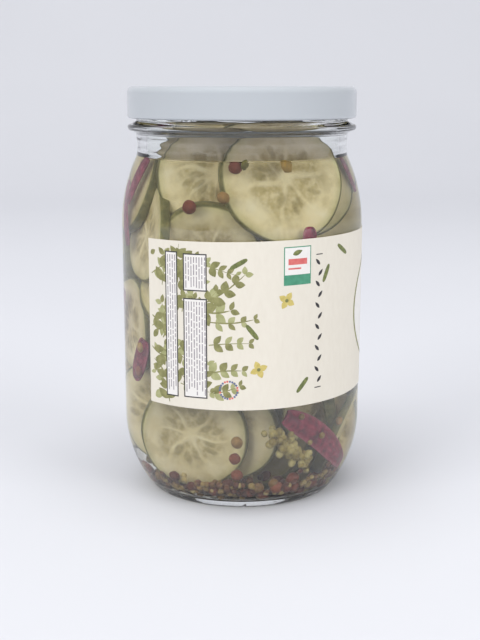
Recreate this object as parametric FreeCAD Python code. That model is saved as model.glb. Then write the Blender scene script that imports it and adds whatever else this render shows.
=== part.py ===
import FreeCAD, Part
import math
import os

# Glass jar with a twist-off steel lid, a wrap-around paper label and its brine.
# Millimetres. +Z is up, the origin is the middle of the ring that the jar stands on,
# and the label's open stretch faces -X.

# Glass body
BODY_D = 77.6             # straight wall that carries the label
SHOULDER_Z = 86.4         # where the straight wall starts to close in
SHOULDER_R = 50.0         # long curve of the shoulder
SHOULDER_FILLET = 4.0     # hollow curve from the shoulder into the neck
HEEL_Z = 24.0             # where the wall starts to close in towards the foot
HEEL_R = 38.0             # long curve of the heel
FOOT_R = 2.5              # small curve from the heel to the standing ring
STAND_W = 2.4             # flat width of the standing ring
PUSH_UP = 1.0             # hollow under the base
WALL = 2.3                # body wall
BASE = 2.0                # glass in the middle of the base
FLOOR_CORNER_R = 5.0      # inside corner between floor and heel

# Glass neck and finish
NECK_D = 67.2             # outside of the neck, and of the wall behind the threads
NECK_WALL = 2.8
NECK_H = 5.9              # straight neck below the bead
BEAD_OUT = 2.8            # how far the bead stands out of the neck
BEAD_H = 3.8
BEAD_NOSE_H = 2.0         # rounded outer part of the bead
FINISH_H = 10.3           # from the top of the bead to the sealing rim
RIM_ROUND = 1.0
THREADS = 4               # separate slanting threads
THREAD_OUT = 0.8          # how far a thread stands out of the neck wall
THREAD_ROOT = 0.6         # how far it is rooted in the wall
THREAD_W = 2.0            # thread height at its root
THREAD_CREST_W = 0.8
THREAD_SWEEP = 74.0       # degrees round the neck
THREAD_RISE = 4.0         # from the low end to the high end
THREAD_ABOVE_BEAD = 0.6   # room under a thread's low end
THREAD_START = -31.0      # direction of the first low end, degrees from +X
THREAD_STEPS = 8

# Steel lid
SHEET = 0.4               # coated steel
LID_CORNER_R = 2.0
LID_ABOVE_BEAD = 0.9      # gap between the lid's edge and the bead
CURL_R = 0.8              # rolled bottom edge
CURL_GAP = 0.4            # room between the rolled edge and the threads
TOP_RING_W = 5.6          # raised ring above the glass rim, without the corner
PANEL_DROP = 1.0          # middle panel below that ring
PANEL_SLOPE_W = 1.2
BUTTON_D = 24.0           # pulled-in middle of the panel
BUTTON_DROP = 0.4
BUTTON_SLOPE_W = 2.0
LUG_W = 8.0               # lug that grips under a thread
LUG_WALL_GAP = 0.2        # room between a lug and the neck wall
LUG_THREAD_GAP = 0.15     # room between a lug and its thread
LUG_SHARE = 0.62          # how far up its thread each lug sits

# Paper label
LABEL_ABOVE_HEEL = 10.5   # bottom edge above the start of the heel
LABEL_BELOW_SHOULDER = 0.9
LABEL_T = 0.15
LABEL_START = -136.5      # left edge, degrees from +X
LABEL_SWEEP = 283.0
LABEL_TILT = 0.8          # degrees that it was stuck on crooked

# Contents
BRINE_BELOW_NECK = 1.4    # brine level below the start of the straight neck

SAFE_CUT = 10.0           # how far cutting tools reach past what they cut
UP = FreeCAD.Vector(0, 0, 1)
ORIGIN = FreeCAD.Vector(0, 0, 0)


def point(r, z):
    """Point of a half section, at radius r and height z."""
    return FreeCAD.Vector(r, 0, z)


def line(a, b):
    """Straight edge between two half-section points."""
    return Part.makeLine(point(*a), point(*b))


def arc(a, mid, b):
    """Circular edge through three half-section points."""
    return Part.Arc(point(*a), point(*mid), point(*b)).toShape()


def arc_about(centre, radius, start, end):
    """Circular edge about a centre, between two directions in degrees."""
    def at(angle):
        turn = math.radians(angle)
        return (centre[0] + radius * math.cos(turn), centre[1] + radius * math.sin(turn))
    return arc(at(start), at((start + end) / 2), at(end))


def direction(centre, target):
    """Direction in degrees from one half-section point to another."""
    return math.degrees(math.atan2(target[1] - centre[1], target[0] - centre[0]))


def dome(width, rise):
    """Shallow arc from the axis at height rise down to height 0 at radius width."""
    radius = (width ** 2 + rise ** 2) / (2 * rise)
    half = width / 2
    return arc((0, rise), (half, rise - radius + math.sqrt(radius ** 2 - half ** 2)), (width, 0))


def revolve(edges):
    """Solid of revolution about Z from a closed half section."""
    wire = Part.Wire(Part.__sortEdges__(edges))
    face = Part.Face(wire)
    return face.revolve(ORIGIN, UP, 360)


def shoulder_curve(body_rad, neck_rad, curve_r, fillet_r):
    """Shoulder from the straight wall up to the neck: its edges and the neck's start height."""
    centre = (body_rad - curve_r, SHOULDER_Z)
    fillet_x = neck_rad + fillet_r
    across = fillet_x - centre[0]
    rise = math.sqrt((curve_r + fillet_r) ** 2 - across ** 2)
    fillet_centre = (fillet_x, SHOULDER_Z + rise)
    meet = direction(centre, fillet_centre)
    shoulder = arc_about(centre, curve_r, 0, meet)
    hollow = arc_about(fillet_centre, fillet_r, meet + 180, 180)
    return [shoulder, hollow], fillet_centre[1]


def heel_curve(body_rad, curve_r, corner_r, floor_z):
    """Heel from the straight wall down to the floor level: its edges and the flat's radius."""
    centre = (body_rad - curve_r, HEEL_Z)
    corner_z = floor_z + corner_r
    across = math.sqrt((curve_r - corner_r) ** 2 - (HEEL_Z - corner_z) ** 2)
    corner_centre = (centre[0] + across, corner_z)
    meet = direction(centre, corner_centre)
    heel = arc_about(centre, curve_r, 0, meet)
    corner = arc_about(corner_centre, corner_r, meet, -90)
    return [heel, corner], corner_centre[0]


# Sizes that follow from the ones at the top
BODY_RAD = BODY_D / 2
ROOM_RAD = BODY_RAD - WALL
NECK_RAD = NECK_D / 2
BORE_RAD = NECK_RAD - NECK_WALL
BEAD_RAD = NECK_RAD + BEAD_OUT
FLOOR_Z = PUSH_UP + BASE
OUTER_HEEL, STAND_RAD = heel_curve(BODY_RAD, HEEL_R, FOOT_R, 0)
OUTER_SHOULDER, NECK_Z = shoulder_curve(BODY_RAD, NECK_RAD, SHOULDER_R, SHOULDER_FILLET)
INNER_HEEL, FLOOR_RAD = heel_curve(ROOM_RAD, HEEL_R - WALL, FLOOR_CORNER_R, FLOOR_Z)
INNER_SHOULDER, BORE_Z = shoulder_curve(
    ROOM_RAD, BORE_RAD, SHOULDER_R - WALL, SHOULDER_FILLET + WALL)
BEAD_Z = NECK_Z + NECK_H + BEAD_H / 2
BEAD_TOP = BEAD_Z + BEAD_H / 2
RIM_Z = BEAD_TOP + FINISH_H
THREAD_LOW_Z = BEAD_TOP + THREAD_ABOVE_BEAD + THREAD_W / 2
LID_RAD = NECK_RAD + THREAD_OUT + CURL_GAP + 2 * CURL_R
LID_TOP = RIM_Z + SHEET
LID_BOTTOM = BEAD_TOP + LID_ABOVE_BEAD
LABEL_LOW = HEEL_Z + LABEL_ABOVE_HEEL
LABEL_HIGH = SHOULDER_Z - LABEL_BELOW_SHOULDER
BRINE_TOP = NECK_Z - BRINE_BELOW_NECK


def jar_outside():
    """Outer form of the glass without its threads, filled."""
    stand_in = STAND_RAD - STAND_W
    bead_low = BEAD_Z - BEAD_H / 2
    nose_rad = BEAD_RAD - BEAD_NOSE_H / 2
    nose_low = (nose_rad, BEAD_Z - BEAD_NOSE_H / 2)
    nose_high = (nose_rad, BEAD_Z + BEAD_NOSE_H / 2)
    top_rad = NECK_RAD - RIM_ROUND
    edges = [
        dome(stand_in, PUSH_UP),
        line((stand_in, 0), (STAND_RAD, 0)),
    ]
    edges += OUTER_HEEL
    edges.append(line((BODY_RAD, HEEL_Z), (BODY_RAD, SHOULDER_Z)))
    edges += OUTER_SHOULDER
    edges += [
        line((NECK_RAD, NECK_Z), (NECK_RAD, bead_low)),
        line((NECK_RAD, bead_low), nose_low),
        arc(nose_low, (BEAD_RAD, BEAD_Z), nose_high),
        line(nose_high, (NECK_RAD, BEAD_TOP)),
        line((NECK_RAD, BEAD_TOP), (NECK_RAD, RIM_Z - RIM_ROUND)),
        arc_about((top_rad, RIM_Z - RIM_ROUND), RIM_ROUND, 0, 90),
        line((top_rad, RIM_Z), (0, RIM_Z)),
        line((0, RIM_Z), (0, PUSH_UP)),
    ]
    return revolve(edges)


def jar_inside(top_z):
    """Room inside the glass from the floor up to top_z."""
    edges = [line((0, FLOOR_Z), (FLOOR_RAD, FLOOR_Z))]
    edges += INNER_HEEL
    edges.append(line((ROOM_RAD, HEEL_Z), (ROOM_RAD, SHOULDER_Z)))
    edges += INNER_SHOULDER
    high = RIM_Z + SAFE_CUT
    edges += [
        line((BORE_RAD, BORE_Z), (BORE_RAD, high)),
        line((BORE_RAD, high), (0, high)),
        line((0, high), (0, FLOOR_Z)),
    ]
    room = revolve(edges)
    keep = Part.makeCylinder(BODY_RAD, top_z)
    return room.common(keep)


def thread(start_angle):
    """One slanting thread: a tapered bar that rises round the neck wall."""
    sections = []
    for step in range(THREAD_STEPS + 1):
        share = step / THREAD_STEPS
        turn = math.radians(start_angle + share * THREAD_SWEEP)
        z = THREAD_LOW_Z + share * THREAD_RISE
        corners = [
            (NECK_RAD - THREAD_ROOT, z - THREAD_W / 2),
            (NECK_RAD + THREAD_OUT, z - THREAD_CREST_W / 2),
            (NECK_RAD + THREAD_OUT, z + THREAD_CREST_W / 2),
            (NECK_RAD - THREAD_ROOT, z + THREAD_W / 2),
        ]
        outline = [FreeCAD.Vector(r * math.cos(turn), r * math.sin(turn), h) for r, h in corners]
        sections.append(Part.makePolygon(outline + outline[:1]))
    return Part.makeLoft(sections, True, False)


def jar():
    """Glass jar: body, neck, bead, threads and open mouth."""
    bore_top = RIM_Z + SAFE_CUT / 2
    glass = jar_outside().cut(jar_inside(bore_top))
    bars = [thread(THREAD_START + i * 360 / THREADS) for i in range(THREADS)]
    return glass.fuse(bars).removeSplitter()


def lid_sheet():
    """Steel lid without its lugs: rolled edge, skirt, raised ring, panel and button."""
    curl_rad = LID_RAD - CURL_R
    curl_z = LID_BOTTOM + CURL_R
    skirt_in = LID_RAD - SHEET
    curl_up = math.sqrt(CURL_R ** 2 - (skirt_in - curl_rad) ** 2)
    corner_rad = LID_RAD - LID_CORNER_R
    corner_z = LID_TOP - LID_CORNER_R
    ring_in = corner_rad - TOP_RING_W
    panel_rad = ring_in - PANEL_SLOPE_W
    panel_z = LID_TOP - PANEL_DROP
    button_out = BUTTON_D / 2
    button_in = button_out - BUTTON_SLOPE_W
    button_z = panel_z - BUTTON_DROP
    top = [(ring_in, LID_TOP), (panel_rad, panel_z), (button_out, panel_z),
           (button_in, button_z), (0, button_z)]
    under = [(0, button_z - SHEET), (button_in, button_z - SHEET), (button_out, panel_z - SHEET),
             (panel_rad, panel_z - SHEET), (ring_in, LID_TOP - SHEET)]
    edges = [
        arc((skirt_in, curl_z + curl_up), (curl_rad - CURL_R, curl_z), (LID_RAD, curl_z)),
        line((LID_RAD, curl_z), (LID_RAD, corner_z)),
        arc_about((corner_rad, corner_z), LID_CORNER_R, 0, 90),
        line((corner_rad, LID_TOP), top[0]),
    ]
    path = top + under
    edges += [line(a, b) for a, b in zip(path[:-1], path[1:])]
    edges += [
        line(under[-1], (corner_rad, LID_TOP - SHEET)),
        arc_about((corner_rad, corner_z), LID_CORNER_R - SHEET, 90, 0),
        line((skirt_in, corner_z), (skirt_in, curl_z + curl_up)),
    ]
    return revolve(edges)


def lug(angle, top_z):
    """Lug pressed inwards from the rolled edge, under a thread."""
    inner = NECK_RAD + LUG_WALL_GAP
    height = top_z - LID_BOTTOM
    width = math.degrees(LUG_W / inner)
    base = FreeCAD.Vector(0, 0, LID_BOTTOM)
    block = Part.makeCylinder(LID_RAD - CURL_R, height, base, UP, width)
    block = block.cut(Part.makeCylinder(inner, height, base, UP))
    block.rotate(ORIGIN, UP, angle - width / 2)
    return block


def lid():
    """Twist-off lid with one lug for each thread."""
    grip = THREAD_START + LUG_SHARE * THREAD_SWEEP
    half_lug = math.degrees(LUG_W / NECK_RAD) / 2
    low_share = LUG_SHARE - half_lug / THREAD_SWEEP
    thread_under = THREAD_LOW_Z + low_share * THREAD_RISE - THREAD_W / 2
    lugs = [lug(grip + i * 360 / THREADS, thread_under - LUG_THREAD_GAP) for i in range(THREADS)]
    return lid_sheet().fuse(lugs).removeSplitter()


def label():
    """Paper label: a thin skin on the straight wall, stuck on slightly crooked."""
    tilt = math.radians(LABEL_TILT)
    height = (LABEL_HIGH - LABEL_LOW) * math.cos(tilt)
    low = FreeCAD.Vector(0, 0, LABEL_LOW - SAFE_CUT)
    tall = LABEL_HIGH - LABEL_LOW + 2 * SAFE_CUT
    skin = Part.makeCylinder(BODY_RAD + LABEL_T, tall, low, UP, LABEL_SWEEP)
    skin = skin.cut(Part.makeCylinder(BODY_RAD, tall, low, UP))
    skin.rotate(ORIGIN, UP, LABEL_START)
    side = 2 * (BODY_RAD + SAFE_CUT)
    band = Part.makeBox(side, side, height, FreeCAD.Vector(-side / 2, -side / 2, -height / 2))
    band.rotate(ORIGIN, FreeCAD.Vector(0, 1, 0), -LABEL_TILT)
    band.translate(FreeCAD.Vector(0, 0, (LABEL_LOW + LABEL_HIGH) / 2))
    return skin.common(band)


def brine():
    """Brine and all that is sunk in it, up to its level."""
    return jar_inside(BRINE_TOP)


def main():
    os.makedirs("parts", exist_ok=True)
    for name, make in (("jar", jar), ("lid", lid), ("label", label), ("brine", brine)):
        shape = make()
        solid = shape.Solids[0]
        solid.exportStep("parts/" + name + ".step")
        box = solid.BoundBox
        print(name, len(shape.Solids), "solid, valid", solid.isValid(), "volume", round(solid.Volume, 1),
              "z", round(box.ZMin, 2), round(box.ZMax, 2), "x", round(box.XMin, 2), round(box.XMax, 2))
    print("brine top", round(BRINE_TOP, 3), "bore", BORE_RAD, "stand", round(STAND_RAD, 3), "lid", LID_TOP)


main()
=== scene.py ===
"""Pickle jar: a clear round glass jar with a white twist-off lid and a wrapped paper label.
It is packed with cucumber slices, red onion and whole spices in brine. Shapes are worked out in
millimetres, with the foot of the jar at height 0, and turned into metres as they become meshes.
Round-the-jar angles start at the front, -Y, and grow towards +X."""

import math

import bmesh
import bpy
import numpy as np
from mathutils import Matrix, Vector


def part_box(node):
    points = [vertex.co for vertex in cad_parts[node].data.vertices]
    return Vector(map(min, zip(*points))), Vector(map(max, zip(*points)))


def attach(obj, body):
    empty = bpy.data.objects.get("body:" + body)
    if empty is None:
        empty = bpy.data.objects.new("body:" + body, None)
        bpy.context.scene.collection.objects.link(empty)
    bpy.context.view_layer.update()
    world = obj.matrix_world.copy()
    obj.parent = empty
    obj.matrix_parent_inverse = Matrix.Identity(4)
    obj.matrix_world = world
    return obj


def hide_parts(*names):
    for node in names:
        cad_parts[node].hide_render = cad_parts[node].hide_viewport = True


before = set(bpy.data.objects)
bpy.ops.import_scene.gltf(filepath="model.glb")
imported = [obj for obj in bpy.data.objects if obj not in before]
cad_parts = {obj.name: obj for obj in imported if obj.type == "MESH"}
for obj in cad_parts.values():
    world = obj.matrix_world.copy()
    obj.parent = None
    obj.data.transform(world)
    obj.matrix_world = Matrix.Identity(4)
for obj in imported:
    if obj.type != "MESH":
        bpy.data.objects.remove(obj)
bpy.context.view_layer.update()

# ---------------------------------------------------------------- sizes, mm

MM = 0.001
BODY_RAD = 38.8
SHOULDER_Z = 86.4
SHOULDER_R = 50.0
SHOULDER_FILLET = 4.0
HEEL_Z = 24.0
HEEL_R = 38.0
FOOT_R = 2.5
STAND_W = 2.4
PUSH_UP = 1.0
WALL = 2.3
BASE = 2.0
FLOOR_CORNER_R = 5.0
NECK_RAD = 33.6
FINISH_H = 10.3
RIM_OUT_R = 1.0
RIM_IN_R = 0.7
BORE_RAD = 30.8
BEAD_OUT = 2.8
BEAD_H = 3.8
BEAD_NOSE_H = 2.0
THREADS = 4
THREAD_OUT = 0.8
THREAD_HALF = 0.74
THREAD_CREST_HALF = 0.4
THREAD_SWEEP = 74.0
THREAD_RISE = 4.0
THREAD_START = 59.0
THREAD_ABOVE_BEAD = 1.6
SHEET = 0.4
LID_CORNER_R = 2.0
CURL_R = 0.8
TOP_RING_W = 5.6
PANEL_DROP = 1.0
PANEL_SLOPE_W = 1.2
BUTTON_RAD = 12.0
BUTTON_DROP = 0.4
BUTTON_SLOPE_W = 2.0
LUG_W = 8.0
LUG_REACH = 1.0
LUG_SHARE = 0.62
LABEL_T = 0.15
LABEL_LOW = 34.5
LABEL_HIGH = 85.5
LABEL_START = -46.5
LABEL_SWEEP = 283.0
LABEL_TILT = math.radians(0.8)
INTO_WALL = 0.12
MENISCUS_H = 1.3
MENISCUS_W = 1.5
FLOOR_STEPS = 12
STRAIGHT_STEPS = 26

ROOM_RAD = BODY_RAD - WALL
FLOOR_Z = PUSH_UP + BASE
LID_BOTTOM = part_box("lid")[0][2] / MM
LID_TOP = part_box("lid")[1][2] / MM
LID_RAD = (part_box("lid")[1][0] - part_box("lid")[0][0]) / MM / 2
RIM_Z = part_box("jar")[1][2] / MM
BRINE_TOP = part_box("brine")[1][2] / MM

# ---------------------------------------------------------------- half sections


def arc_run(centre, radius, start, end, steps):
    """Points on a circle: centre + radius (cos a, sin a), with a from start to end degrees."""
    turn = np.radians(np.linspace(start, end, steps + 1))
    return np.stack([centre[0] + radius * np.cos(turn), centre[1] + radius * np.sin(turn)], 1)


def straight_run(first, last, steps):
    """Evenly spaced points from first to last."""
    share = np.linspace(0, 1, steps + 1)[:, None]
    return np.array(first) * (1 - share) + np.array(last) * share


def joined(*runs):
    """Runs laid end to end, less any point that repeats the one before it."""
    points = np.concatenate(runs)
    step = np.linalg.norm(np.diff(points, axis=0), axis=1)
    return points[np.concatenate([[True], step > 0.004])]


def eased(corners, reach, steps=4):
    """Path through corners, each inner one replaced by a quadratic curve.
    The curve is (1-t)^2 a + 2t(1-t) corner + t^2 b, with a and b at distance reach from it."""
    corners = np.array(corners, float)
    before, here, after = corners[:-2], corners[1:-1], corners[2:]
    back = (before - here) / np.linalg.norm(before - here, axis=1)[:, None]
    ahead = (after - here) / np.linalg.norm(after - here, axis=1)[:, None]
    t = np.linspace(0, 1, steps + 1)[None, :, None]
    a = (here + back * reach)[:, None]
    b = (here + ahead * reach)[:, None]
    bend = (1 - t) ** 2 * a + 2 * t * (1 - t) * here[:, None] + t ** 2 * b
    return joined(corners[:1], bend.reshape(-1, 2), corners[-1:])


def heel_run(radius, curve_r, corner_r, floor_z, steps):
    """From the flat's edge up a corner arc and a tangent heel arc to the straight wall."""
    corner_z = floor_z + corner_r
    across = math.sqrt((curve_r - corner_r) ** 2 - (HEEL_Z - corner_z) ** 2)
    meet = math.degrees(math.atan2(corner_z - HEEL_Z, across))
    corner = arc_run((radius - curve_r + across, corner_z), corner_r, -90, meet, steps)
    return joined(corner, arc_run((radius - curve_r, HEEL_Z), curve_r, meet, 0, 2 * steps))


def shoulder_run(radius, neck_rad, curve_r, fillet_r, steps):
    """From the straight wall in over the shoulder arc and a tangent hollow to the neck."""
    fillet_x = neck_rad + fillet_r
    across = fillet_x - (radius - curve_r)
    rise = math.sqrt((curve_r + fillet_r) ** 2 - across ** 2)
    meet = math.degrees(math.atan2(rise, across))
    curve = arc_run((radius - curve_r, SHOULDER_Z), curve_r, 0, meet, 2 * steps)
    hollow = arc_run((fillet_x, SHOULDER_Z + rise), fillet_r, meet + 180, 180, steps)
    return joined(curve, hollow)


def room_section(grow=0.0):
    """Inside of the glass, from the middle of the floor up to the bore, moved out by grow."""
    radius = ROOM_RAD + grow
    heel = heel_run(radius, HEEL_R - WALL + grow, FLOOR_CORNER_R + grow, FLOOR_Z - grow, FLOOR_STEPS)
    shoulder = shoulder_run(radius, BORE_RAD + grow, SHOULDER_R - WALL + grow,
                            SHOULDER_FILLET + WALL - grow, 9)
    floor = straight_run((0, FLOOR_Z - grow), heel[0], FLOOR_STEPS)
    wall = straight_run(heel[-1], shoulder[0], STRAIGHT_STEPS)
    return joined(floor, heel, wall, shoulder)


ROOM = room_section()


def room_radius(z):
    """Inside radius of the glass at height z."""
    return np.interp(z, ROOM[FLOOR_STEPS:, 1], ROOM[FLOOR_STEPS:, 0])


def floor_height(radius):
    """Height of the glass floor and heel at a distance from the axis."""
    low = ROOM[:4 * FLOOR_STEPS + 2]
    return np.interp(radius, low[:, 0], low[:, 1])


# ---------------------------------------------------------------- meshes


def add_piece(name, points, faces, material, node=None, smooth=180.0):
    """Mesh piece from points in mm and arrays of three- or four-cornered faces.
    Its faces are turned outwards, it rides on the jar and takes the slot's finish."""
    mesh = bpy.data.meshes.new(name)
    sides = np.concatenate([np.full(len(f), f.shape[1]) for f in faces])
    corners = np.concatenate([f.ravel() for f in faces]).astype(np.int32)
    mesh.vertices.add(len(points))
    mesh.vertices.foreach_set("co", (points * MM).astype(np.float32).ravel())
    mesh.loops.add(len(corners))
    mesh.loops.foreach_set("vertex_index", corners)
    mesh.polygons.add(len(sides))
    starts = np.concatenate([[0], np.cumsum(sides)[:-1]]).astype(np.int32)
    mesh.polygons.foreach_set("loop_start", starts)
    mesh.update(calc_edges=True)
    turned = bmesh.new()
    turned.from_mesh(mesh)
    bmesh.ops.recalc_face_normals(turned, faces=turned.faces)
    turned.to_mesh(mesh)
    turned.free()
    mesh.shade_smooth()
    if smooth < 180:
        mesh.set_sharp_from_angle(angle=math.radians(smooth))
    mesh.materials.append(material)
    piece = bpy.data.objects.new(name, mesh)
    bpy.context.scene.collection.objects.link(piece)
    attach(piece, "root")
    if node:
        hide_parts(node)
    return piece


def give(piece, name, values):
    """Stores one number for each point of the piece, for its material to read."""
    layer = piece.data.attributes.new(name, "FLOAT", "POINT")
    layer.data.foreach_set("value", np.asarray(values, np.float32).ravel())


def round_points(rows):
    """Points of closed rounds. rows is (count, rows, points round, 3); each first and last
    row is one pole, at that row's middle."""
    count, _, _, _ = rows.shape
    low = rows[:, 0].mean(1, keepdims=True)
    high = rows[:, -1].mean(1, keepdims=True)
    middle = rows[:, 1:-1].reshape(count, -1, rows.shape[3])
    return np.concatenate([low, middle, high], 1).reshape(-1, rows.shape[3])


def round_faces(count, rings, around):
    """Faces of closed rounds: a fan at each pole and quads between neighbouring rings."""
    size = rings * around + 2
    here = np.arange(around)
    after = (here + 1) % around
    fan_low = np.stack([np.zeros(around, int), 1 + after, 1 + here], 1)
    top = 1 + (rings - 1) * around
    fan_high = np.stack([np.full(around, size - 1), top + here, top + after], 1)
    ring = 1 + np.arange(rings - 1)[:, None] * around
    quads = np.stack([ring + here, ring + after, ring + around + after, ring + around + here], 2)
    shift = (np.arange(count) * size)[:, None, None]
    fans = (np.concatenate([fan_low, fan_high])[None] + shift).reshape(-1, 3)
    return [fans, (quads.reshape(1, -1, 4) + shift).reshape(-1, 4)]


def add_rounds(name, rows, material, node=None, smooth=180.0):
    """Piece of one or more closed rounds."""
    faces = round_faces(rows.shape[0], rows.shape[1] - 2, rows.shape[2])
    return add_piece(name, round_points(rows), faces, material, node, smooth)


def slab_faces(count, tall, wide):
    """Faces of closed slabs: a front sheet, a back sheet and the walls between their edges."""
    index = np.arange(tall * wide).reshape(tall, wide)
    a, b, c, d = index[:-1, :-1], index[:-1, 1:], index[1:, 1:], index[1:, :-1]
    front = np.stack([a, b, c, d], 2).reshape(-1, 4)
    back = front[:, ::-1] + tall * wide
    rim = np.concatenate([index[0], index[1:, -1], index[-1, -2::-1], index[-2:0:-1, 0]])
    ahead = np.roll(rim, -1)
    wall = np.stack([ahead, rim, rim + tall * wide, ahead + tall * wide], 1)
    shift = (np.arange(count) * 2 * tall * wide)[:, None, None]
    return [(np.concatenate([front, back, wall])[None] + shift).reshape(-1, 4)]


def add_slabs(name, front, back, material, node=None, smooth=40.0):
    """Piece of closed slabs from front and back sheets, each (count, tall, wide, 3)."""
    count, tall, wide, _ = front.shape
    points = np.stack([front, back], 1).reshape(-1, 3)
    return add_piece(name, points, slab_faces(count, tall, wide), material, node, smooth)


def turned_round(section, around, swell=None):
    """Half section turned about the axis: (r sin a, -r cos a, z). swell adds to r."""
    turn = np.linspace(0, 2 * math.pi, around, endpoint=False)
    radius = section[:, :1] + (0 if swell is None else swell(section, turn[None]))
    radius = radius * np.ones((1, around))
    height = section[:, 1:] * np.ones((1, around))
    return np.stack([radius * np.sin(turn), -radius * np.cos(turn), height], 2)[None]


def smoothstep(low, high, value):
    """0 below low, 1 above high and 3t^2 - 2t^3 between, also with low above high."""
    t = np.clip((value - low) / (high - low), 0, 1)
    return t * t * (3 - 2 * t)


# ---------------------------------------------------------------- materials


class Finish:
    """A node material with one Principled shader, and short ways to add nodes to it."""

    def __init__(self, name, **values):
        self.material = bpy.data.materials.new(name)
        self.material.use_nodes = True
        self.tree = self.material.node_tree
        self.shader = self.tree.nodes["Principled BSDF"]
        self.place = self.add("ShaderNodeTexCoord").outputs["Object"]
        for key, value in values.items():
            self.shader.inputs[key.replace("_", " ")].default_value = value

    def add(self, kind, **settings):
        node = self.tree.nodes.new(kind)
        for key, value in settings.items():
            setattr(node, key, value)
        return node

    def join(self, source, target):
        self.tree.links.new(source, target)

    def set(self, socket, source):
        self.join(source, self.shader.inputs[socket])

    def stored(self, name):
        return self.add("ShaderNodeAttribute", attribute_name=name).outputs["Fac"]

    def noise(self, size, detail=3.0, rough=0.5, squash=(1, 1, 1)):
        """Noise with features about size mm across; squash stretches it along an axis."""
        spread = self.add("ShaderNodeMapping")
        spread.inputs["Scale"].default_value = [s / (size * MM) for s in squash]
        self.join(self.place, spread.inputs["Vector"])
        node = self.add("ShaderNodeTexNoise")
        node.inputs["Scale"].default_value = 1.0
        node.inputs["Detail"].default_value = detail
        node.inputs["Roughness"].default_value = rough
        self.join(spread.outputs["Vector"], node.inputs["Vector"])
        return node.outputs["Fac"]

    def ramp(self, source, *stops):
        """Colours or greys by value, from (place, colour) stops."""
        node = self.add("ShaderNodeValToRGB")
        marks = node.color_ramp.elements
        while len(marks) < len(stops):
            marks.new(0.5)
        for mark, (spot, colour) in zip(marks, stops):
            mark.position = spot
            mark.color = (colour, colour, colour, 1) if np.isscalar(colour) else (*colour, 1)
        self.join(source, node.inputs["Fac"])
        return node.outputs["Color"]

    def blend(self, share, first, second, kind="MIX"):
        """Colour between first and second; each may be a colour or another node's output."""
        node = self.add("ShaderNodeMix", data_type="RGBA", blend_type=kind)
        if isinstance(share, (int, float)):
            node.inputs[0].default_value = share
        else:
            self.join(share, node.inputs[0])
        for socket, value in ((node.inputs[6], first), (node.inputs[7], second)):
            if isinstance(value, tuple):
                socket.default_value = (*value, 1)
            else:
                self.join(value, socket)
        return node.outputs[2]

    def math(self, kind, first, second=0.0):
        node = self.add("ShaderNodeMath", operation=kind)
        for socket, value in ((node.inputs[0], first), (node.inputs[1], second)):
            if isinstance(value, (int, float)):
                socket.default_value = value
            else:
                self.join(value, socket)
        return node.outputs[0]

    def pass_lamps(self, tint):
        """Lamp light goes straight through: a Transparent shader, for shadow rays only."""
        clear = self.add("ShaderNodeBsdfTransparent")
        clear.inputs["Color"].default_value = (*tint, 1)
        either = self.add("ShaderNodeMixShader")
        output = next(n for n in self.tree.nodes if n.type == "OUTPUT_MATERIAL")
        self.join(self.add("ShaderNodeLightPath").outputs["Is Shadow Ray"], either.inputs[0])
        self.join(self.shader.outputs[0], either.inputs[1])
        self.join(clear.outputs[0], either.inputs[2])
        self.join(either.outputs[0], output.inputs["Surface"])

    def bump(self, height, depth, strength=1.0):
        """Bump of depth mm for a height of 0 to 1."""
        node = self.add("ShaderNodeBump")
        node.inputs["Strength"].default_value = strength
        node.inputs["Distance"].default_value = depth * MM
        self.join(height, node.inputs["Height"])
        self.set("Normal", node.outputs["Normal"])


def glass_finish():
    """Clear soda glass: faint grey-green cast and a slow waver in the surface."""
    f = Finish("clear_glass", IOR=1.5, Transmission_Weight=1.0, Roughness=0.0, Specular_IOR_Level=0.14)
    f.set("Base Color", f.ramp(f.noise(24), (0.3, (0.965, 0.98, 0.975)), (0.7, (0.985, 0.992, 0.988))))
    f.bump(f.noise(13, 1.0), 0.10)
    f.pass_lamps((0.985, 0.99, 0.985))
    return f.material


def brine_finish():
    """Thin yellow-green pickling brine, its tint a little uneven in drifts."""
    f = Finish("clear_brine", IOR=1.34, Transmission_Weight=1.0, Roughness=0.0, Specular_IOR_Level=0.1)
    f.set("Base Color", f.ramp(f.noise(30), (0.3, (0.99, 0.965, 0.90)), (0.7, (1.0, 0.98, 0.935))))
    soak = f.add("ShaderNodeVolumeAbsorption")
    soak.inputs["Color"].default_value = (0.80, 0.76, 0.42, 1)
    soak.inputs["Density"].default_value = 2.0
    output = next(n for n in f.tree.nodes if n.type == "OUTPUT_MATERIAL")
    f.join(soak.outputs["Volume"], output.inputs["Volume"])
    f.pass_lamps((1.0, 0.975, 0.90))
    return f.material


def lid_finish():
    """White enamel on steel: smooth gloss with a faint orange peel and slight fading."""
    f = Finish("white_enamel", IOR=1.5, Roughness=0.26, Coat_Weight=0.6, Coat_Roughness=0.12)
    tone = f.ramp(f.noise(30, 2.0), (0.3, (0.47, 0.50, 0.533)), (0.7, (0.478, 0.508, 0.541)))
    f.set("Base Color", tone)
    f.set("Roughness", f.ramp(f.noise(20, 1.0), (0.2, 0.27), (0.8, 0.29)))
    f.bump(f.noise(1.2, 1.0), 0.0015)
    return f.material


def paper_finish():
    """Uncoated cream label paper: fibre flecks and a soft tooth."""
    f = Finish("cream_paper", IOR=1.45, Roughness=0.62)
    fibre = f.noise(1.4, 5.0, 0.6, (1, 1, 0.35))
    tone = f.ramp(fibre, (0.25, (0.735, 0.69, 0.60)), (0.5, (0.755, 0.71, 0.62)),
                  (0.8, (0.775, 0.735, 0.645)))
    f.set("Base Color", tone)
    f.bump(f.noise(0.35, 3.0), 0.02)
    return f.material


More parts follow.
